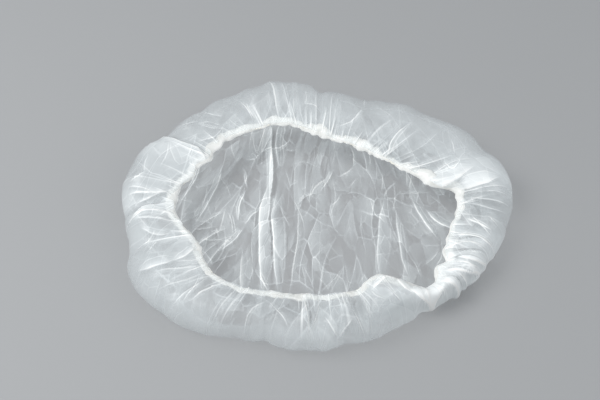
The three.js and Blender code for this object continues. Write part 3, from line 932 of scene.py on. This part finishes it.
def crinkle_group():
    """Height, line and facet shade of a net of fine creases at a position, for cells of one over
    Cells and lines whose half width is Width of a cell. A facet shade is the place in its cell times
    a slope that the cell has by chance: painted shade, lighter on one side of a cell, darker on the other."""
    tree = bpy.data.node_groups.new("film_crinkle", "ShaderNodeTree")
    for name, way, kind in CRINKLE_SOCKETS:
        tree.interface.new_socket(name, in_out=way, socket_type="NodeSocket" + kind)
    inside = tree.nodes.new("NodeGroupInput")
    outside = tree.nodes.new("NodeGroupOutput")
    place = tree.nodes.new("ShaderNodeVectorMath")
    place.operation = "MULTIPLY"
    warp = add_node(tree, "ShaderNodeTexNoise", Scale=0.9, Detail=1)
    warp.noise_dimensions = "2D"
    push = tree.nodes.new("ShaderNodeVectorMath")
    push.operation = "MULTIPLY_ADD"
    push.inputs[1].default_value = (CRINKLE_WARP,) * 3
    net = add_node(tree, "ShaderNodeTexVoronoi", Scale=1)
    net.voronoi_dimensions = "2D"
    net.feature = "DISTANCE_TO_EDGE"
    cell = add_node(tree, "ShaderNodeTexVoronoi", Scale=1)
    cell.voronoi_dimensions = "2D"
    slope, local, facet_shade = [tree.nodes.new("ShaderNodeVectorMath") for _ in range(3)]
    slope.operation = local.operation = "SUBTRACT"
    slope.inputs[1].default_value = (0.5,) * 3
    facet_shade.operation = "DOT_PRODUCT"
    line = add_node(tree, "ShaderNodeMapRange", **{"To Min": 1, "To Max": 0})
    patches = add_node(tree, "ShaderNodeTexNoise", Scale=0.7, Detail=0)
    patches.noise_dimensions = "2D"
    shown = add_node(tree, "ShaderNodeMapRange", **{"From Min": 0.38, "From Max": 0.68})
    patchy_line = tree.nodes.new("ShaderNodeMath")
    patchy_line.operation = "MULTIPLY"
    for source, output, target, socket in [
        (inside, "Position", place, 0),
        (inside, "Cells", place, 1),
        (place, "Vector", warp, "Vector"),
        (place, "Vector", patches, "Vector"),
        (warp, "Color", push, 0),
        (place, "Vector", push, 2),
        (push, "Vector", net, "Vector"),
        (push, "Vector", cell, "Vector"),
        (cell, "Color", slope, 0),
        (push, "Vector", local, 0),
        (cell, "Position", local, 1),
        (slope, "Vector", facet_shade, 0),
        (local, "Vector", facet_shade, 1),
        (facet_shade, "Value", outside, "Facet Shade"),
        (net, "Distance", line, "Value"),
        (inside, "Width", line, "From Max"),
        (patches, "Fac", shown, "Value"),
        (line, "Result", patchy_line, 0),
        (shown, "Result", patchy_line, 1),
        (net, "Distance", outside, "Height"),
        (patchy_line, "Value", outside, "Line"),
    ]:
        link(tree, source.outputs[output], target.inputs[socket])
    return tree


CRINKLE = crinkle_group()
print("crinkle group has", len(CRINKLE.nodes), "nodes")

# %% [markdown]
# The rest of a finish is put together from the same few parts: numbers read off the vertices, a
# weighted sum of them, a blend of two colours and a bump. A helper for each keeps a finish short.

# %% Finish helpers
def new_finish(name):
    """An empty material with its Principled shader: (material, tree, shader)."""
    material = bpy.data.materials.new(name)
    material.use_nodes = True
    tree = material.node_tree
    return material, tree, tree.nodes["Principled BSDF"]


def crinkle_node(tree, across, along, width):
    """The crinkle placed in a material on the piece's lay, with cells and lines of the given sizes
    in millimetres."""
    place = tree.nodes.new("ShaderNodeAttribute")
    place.attribute_name = "lay"
    node = tree.nodes.new("ShaderNodeGroup")
    node.node_tree = CRINKLE
    node.inputs["Cells"].default_value = (1 / across, 1 / along, 1)
    node.inputs["Width"].default_value = width / across
    link(tree, place.outputs["Vector"], node.inputs["Position"])
    return node


def attribute_node(tree, name):
    """A number painted on the piece's vertices."""
    node = tree.nodes.new("ShaderNodeAttribute")
    node.attribute_name = name
    return node.outputs["Fac"]


def weighted_sum(tree, parts, base, clamp=True):
    """base plus each socket times its weight, kept from 0 to 1 or not."""
    total = base
    for socket, weight in parts:
        add = tree.nodes.new("ShaderNodeMath")
        add.operation = "MULTIPLY_ADD"
        add.use_clamp = clamp
        add.inputs[1].default_value = weight
        link(tree, socket, add.inputs[0])
        if isinstance(total, (int, float)):
            add.inputs[2].default_value = total
        else:
            link(tree, total, add.inputs[2])
        total = add.outputs[0]
    return total


def product(tree, first, second):
    """Two sockets multiplied."""
    node = tree.nodes.new("ShaderNodeMath")
    node.operation = "MULTIPLY"
    link(tree, first, node.inputs[0])
    link(tree, second, node.inputs[1])
    return node.outputs[0]


def colour_blend(tree, share, low, high):
    """A colour between two, by a share."""
    mix = tree.nodes.new("ShaderNodeMix")
    mix.data_type = "RGBA"
    mix.inputs["A"].default_value = (*low, 1)
    mix.inputs["B"].default_value = (*high, 1)
    link(tree, share, mix.inputs["Factor"])
    return mix.outputs["Result"]


def bump(tree, height, strength, depth):
    """A Bump node on a height."""
    node = tree.nodes.new("ShaderNodeBump")
    node.inputs["Strength"].default_value = strength
    node.inputs["Distance"].default_value = depth * MM
    link(tree, height, node.inputs["Height"])
    return node.outputs["Normal"]


# %% [markdown]
# The film's finish. Polyethylene this thin lets most light through and scatters the rest, so it
# is see-through white: one layer is faint, two are plainer, and a crease, where the light crosses
# much film, is nearly solid. Alpha does that here. It starts low, and rises with the haze and the
# creases painted on the vertices. A crease is a thin white line, and beside it lies painted shade:
# a paler facet on one side, as where two panes of a folded film meet the light differently. The
# crinkle's facets are painted shade too. Most of the light that the film scatters goes on through
# it, which plain alpha doesn't know, so a shadow ray sees only a part of the alpha. The fine
# crinkle bumps the film as well, most where it is most creased.

# %% Film finish
FILM_BLUE = (0.80, 0.86, 0.88)
CREASE_WHITE = (0.92, 0.92, 0.90)
# a white crease line, then on one side a paler facet, which is painted shade
LINE_AND_SHADE_PROFILE = [(-0.6, 0), (-0.18, 0.9), (0.18, 1), (0.65, 0.28), (3.6, 0)]  # distance, white
FILM_CRINKLES = [
    # cell across, along and half width of its lines in millimetres; white of lines, and of painted facet
    # shade
    ((23, 60, 0.5), 0.36, 0.45),
    ((11, 27, 0.4), 0.32, 0.45),
    ((5, 12, 0.25), 0.22, 0.25),
]
CLEAR_ALPHA, CLEAR_ROUGHNESS = 0.15, 0.30  # of smooth film in one layer
HAZE_ALPHA, CREASE_ALPHA = 0.42, 0.75  # what haze and creases add to the alpha
HAZE_WHITENESS, CREASE_WHITENESS = 0.3, 0.9  # what they add to the whiteness
CREASE_ROUGHNESS, CRINKLE_ROUGHNESS = 0.2, 0.1
FILM_BUMP, FILM_BUMP_DEPTH = 0.3, 0.8
FILM_IOR = 1.5
SHADOW_SHARE = 0.35  # of the light that the film scatters, the part that doesn't go on through


def line_set(tree, number):
    """White of one set of lines, with painted shade beside: a profile of the distance, times its white."""
    held = tree.nodes.new("ShaderNodeAttribute")
    held.attribute_name = f"line_{number}"
    parts = tree.nodes.new("ShaderNodeSeparateXYZ")
    link(tree, held.outputs["Vector"], parts.inputs["Vector"])
    first, last = LINE_AND_SHADE_PROFILE[0][0], LINE_AND_SHADE_PROFILE[-1][0]
    place = add_node(tree, "ShaderNodeMapRange", **{"From Min": first, "From Max": last})
    link(tree, parts.outputs["X"], place.inputs["Value"])
    ramp = tree.nodes.new("ShaderNodeValToRGB")
    link(tree, place.outputs["Result"], ramp.inputs["Fac"])
    stops = ramp.color_ramp.elements
    for distance, white in LINE_AND_SHADE_PROFILE[1:-1]:
        stops.new((distance - first) / (last - first)).color = (white, white, white, 1)
    stops[-1].color = (0, 0, 0, 1)
    return product(tree, ramp.outputs["Color"], parts.outputs["Y"])


def thin_shadow(tree, alpha):
    """Alpha as it is for all rays but shadow rays, which get a share of it."""
    path = tree.nodes.new("ShaderNodeLightPath")
    return product(tree, alpha, weighted_sum(tree, [(path.outputs["Is Shadow Ray"], SHADOW_SHARE - 1)], 1.0))


film_finish, tree, shader = new_finish("milky_film")
haze = attribute_node(tree, "haze")
sets = [(line_set(tree, number), 1) for number in range(len(all_side))]
# the crease lines, each with a paler facet of painted shade beside it
crease_and_shade = weighted_sum(tree, sets, 0.0, clamp=False)
crinkles = [(crinkle_node(tree, *cell), line, facet_shade) for cell, line, facet_shade in FILM_CRINKLES]
nets = [(node.outputs["Line"], line) for node, line, facet_shade in crinkles]
facet_shades = [(node.outputs["Facet Shade"], facet_shade) for node, line, facet_shade in crinkles]
fine = crinkles[1][0]
# the crinkle's lines, and its facets as painted shade: each cell lighter on one side, darker on the other
crinkle_and_facet_shade = weighted_sum(tree, nets + facet_shades, 0.0, clamp=False)
fine_share = attribute_node(tree, "fine")
lines = product(tree, crinkle_and_facet_shade, fine_share)
alpha = weighted_sum(tree, [(haze, HAZE_ALPHA), (crease_and_shade, CREASE_ALPHA), (lines, 1)], CLEAR_ALPHA)
whiteness = weighted_sum(tree, [(crease_and_shade, CREASE_WHITENESS), (haze, HAZE_WHITENESS), (lines, 1)], 0.0)
link(tree, thin_shadow(tree, alpha), shader.inputs["Alpha"])
link(tree, colour_blend(tree, whiteness, FILM_BLUE, CREASE_WHITE), shader.inputs["Base Color"])
roughening = [(crease_and_shade, CREASE_ROUGHNESS), (fine.outputs["Line"], CRINKLE_ROUGHNESS)]
link(tree, weighted_sum(tree, roughening, CLEAR_ROUGHNESS), shader.inputs["Roughness"])
relief = product(tree, fine.outputs["Height"], fine_share)
link(tree, bump(tree, relief, FILM_BUMP, FILM_BUMP_DEPTH), shader.inputs["Normal"])
shader.inputs["IOR"].default_value = FILM_IOR
film.data.materials.append(film_finish)
print("film finish has", len(tree.nodes), "nodes")

# %% [markdown]
# The hem is the same film many layers deep, so it is almost solid and a little creamy, because
# the elastic's colour comes through; only where it feathers out does it turn clearer. Its lumps are
# whiter and its hollows greyer: partly the film piled deeper on a lump, partly painted light on the
# lumps and painted shade in the hollows. Light wanders between the layers before it comes out, which
# subsurface scattering stands for. The thread itself is dull cream rubber with a fine grain.

# %% Hem and elastic finishes
HEM_CRINKLE = (9, 7, 0.4)  # cell across, along and half width of its lines
# from the grey of painted shade in the hollows to the white of the lumps, partly painted light
HEM_SHADE = (0.62, 0.63, 0.62)
HEM_WHITE = (0.98, 0.98, 0.945)
HEM_WHITENESS, PART_WHITENESS = 0.40, (1.0, 0.25, -0.15)  # plain; what lumps, lines, outer edge add
HEM_ALPHA, PART_ALPHA = 0.80, (0.5, 0.2, -0.40)  # the same for the alpha
HEM_ROUGHNESS, HEM_LINE_ROUGHNESS = 0.38, 0.15  # plain, and what lines add
HEM_BUMP, HEM_BUMP_DEPTH = 0.5, 1.5
HEM_SCATTER, HEM_SCATTER_REACH = 0.3, 4
THREAD_SHADE = (0.82, 0.80, 0.71)
THREAD_CREAM = (0.93, 0.91, 0.84)
THREAD_GRAIN = 900  # grains to a metre
THREAD_BUMP, THREAD_BUMP_DEPTH, THREAD_ROUGHNESS = 0.4, 0.3, 0.8

hem_finish, tree, shader = new_finish("scrunched_hem")
fine = crinkle_node(tree, *HEM_CRINKLE)
fine_line = fine.outputs["Line"]
parts = (attribute_node(tree, "lump"), fine_line, attribute_node(tree, "outer"))
# a lump whitens, partly as deeper film and partly as painted light; the hollows keep painted shade
whiteness = weighted_sum(tree, zip(parts, PART_WHITENESS), HEM_WHITENESS)
solid = weighted_sum(tree, zip(parts, PART_ALPHA), HEM_ALPHA)
roughness = weighted_sum(tree, [(fine_line, HEM_LINE_ROUGHNESS)], HEM_ROUGHNESS)
link(tree, colour_blend(tree, whiteness, HEM_SHADE, HEM_WHITE), shader.inputs["Base Color"])
link(tree, solid, shader.inputs["Alpha"])
link(tree, roughness, shader.inputs["Roughness"])
link(tree, bump(tree, fine.outputs["Height"], HEM_BUMP, HEM_BUMP_DEPTH), shader.inputs["Normal"])
shader.inputs["Subsurface Weight"].default_value = HEM_SCATTER
shader.inputs["Subsurface Radius"].default_value = (1, 1, 1)
shader.inputs["Subsurface Scale"].default_value = HEM_SCATTER_REACH * MM
hem.data.materials.append(hem_finish)

elastic_finish, tree, shader = new_finish("cream_elastic")
grain = add_node(tree, "ShaderNodeTexNoise", Scale=THREAD_GRAIN)
link(tree, tree.nodes.new("ShaderNodeTexCoord").outputs["Object"], grain.inputs["Vector"])
cream = colour_blend(tree, grain.outputs["Fac"], THREAD_SHADE, THREAD_CREAM)
link(tree, cream, shader.inputs["Base Color"])
grain_bump = bump(tree, grain.outputs["Fac"], THREAD_BUMP, THREAD_BUMP_DEPTH)
link(tree, grain_bump, shader.inputs["Normal"])
shader.inputs["Roughness"].default_value = THREAD_ROUGHNESS
elastic.data.materials.append(elastic_finish)
print("finishes:", [m.name for m in bpy.data.materials if m.users])

# %% [markdown]
# The stage: a plain pale floor, one large soft light from high on the left and a weaker one from
# the right, in a pale room. The floor is a shade darker than the film, so that the film reads as
# white on it. Light that goes through many layers of film needs more transparent bounces.

# %% Stage and light
FLOOR_SIZE = 8  # metres
FLOOR_TONE, FLOOR_ROUGHNESS = (0.33, 0.335, 0.34, 1), 0.7
ROOM_TONE, ROOM_STRENGTH = (0.9, 0.95, 1.0, 1), 0.45
FILM_LAYERS_SEEN = 32  # layers of film that a ray may pass
LAMPS = [
    # place and size in metres, power in watts
    dict(name="key", at=(-0.85, -0.12, 1.25), size=0.8, power=18),
    dict(name="fill", at=(1.1, -0.3, 1.0), size=1.2, power=7),
]

floor_mesh = bpy.data.meshes.new("floor")
half = FLOOR_SIZE / 2
floor_corners = [(-half, -half, 0), (half, -half, 0), (half, half, 0), (-half, half, 0)]
floor_mesh.from_pydata(floor_corners, [], [(0, 1, 2, 3)])
floor = bpy.data.objects.new("floor", floor_mesh)
bpy.context.scene.collection.objects.link(floor)
floor_finish, tree, shader = new_finish("pale_floor")
shader.inputs["Base Color"].default_value = FLOOR_TONE
shader.inputs["Roughness"].default_value = FLOOR_ROUGHNESS
floor.data.materials.append(floor_finish)

for lamp in LAMPS:
    light = bpy.data.lights.new(lamp["name"], "AREA")
    light.size = lamp["size"]
    light.energy = lamp["power"]
    lamp_object = bpy.data.objects.new(lamp["name"], light)
    lamp_object.location = lamp["at"]
    lamp_object.rotation_euler = Vector(lamp["at"]).to_track_quat("Z", "Y").to_euler()
    bpy.context.scene.collection.objects.link(lamp_object)

world = bpy.data.worlds.new("room")
world.use_nodes = True
background = world.node_tree.nodes["Background"]
background.inputs["Color"].default_value = ROOM_TONE
background.inputs["Strength"].default_value = ROOM_STRENGTH
bpy.context.scene.world = world
bpy.context.scene.view_settings.view_transform = "Standard"
bpy.context.scene.cycles.transparent_max_bounces = FILM_LAYERS_SEEN
print("lamps:", [lamp["name"] for lamp in LAMPS])
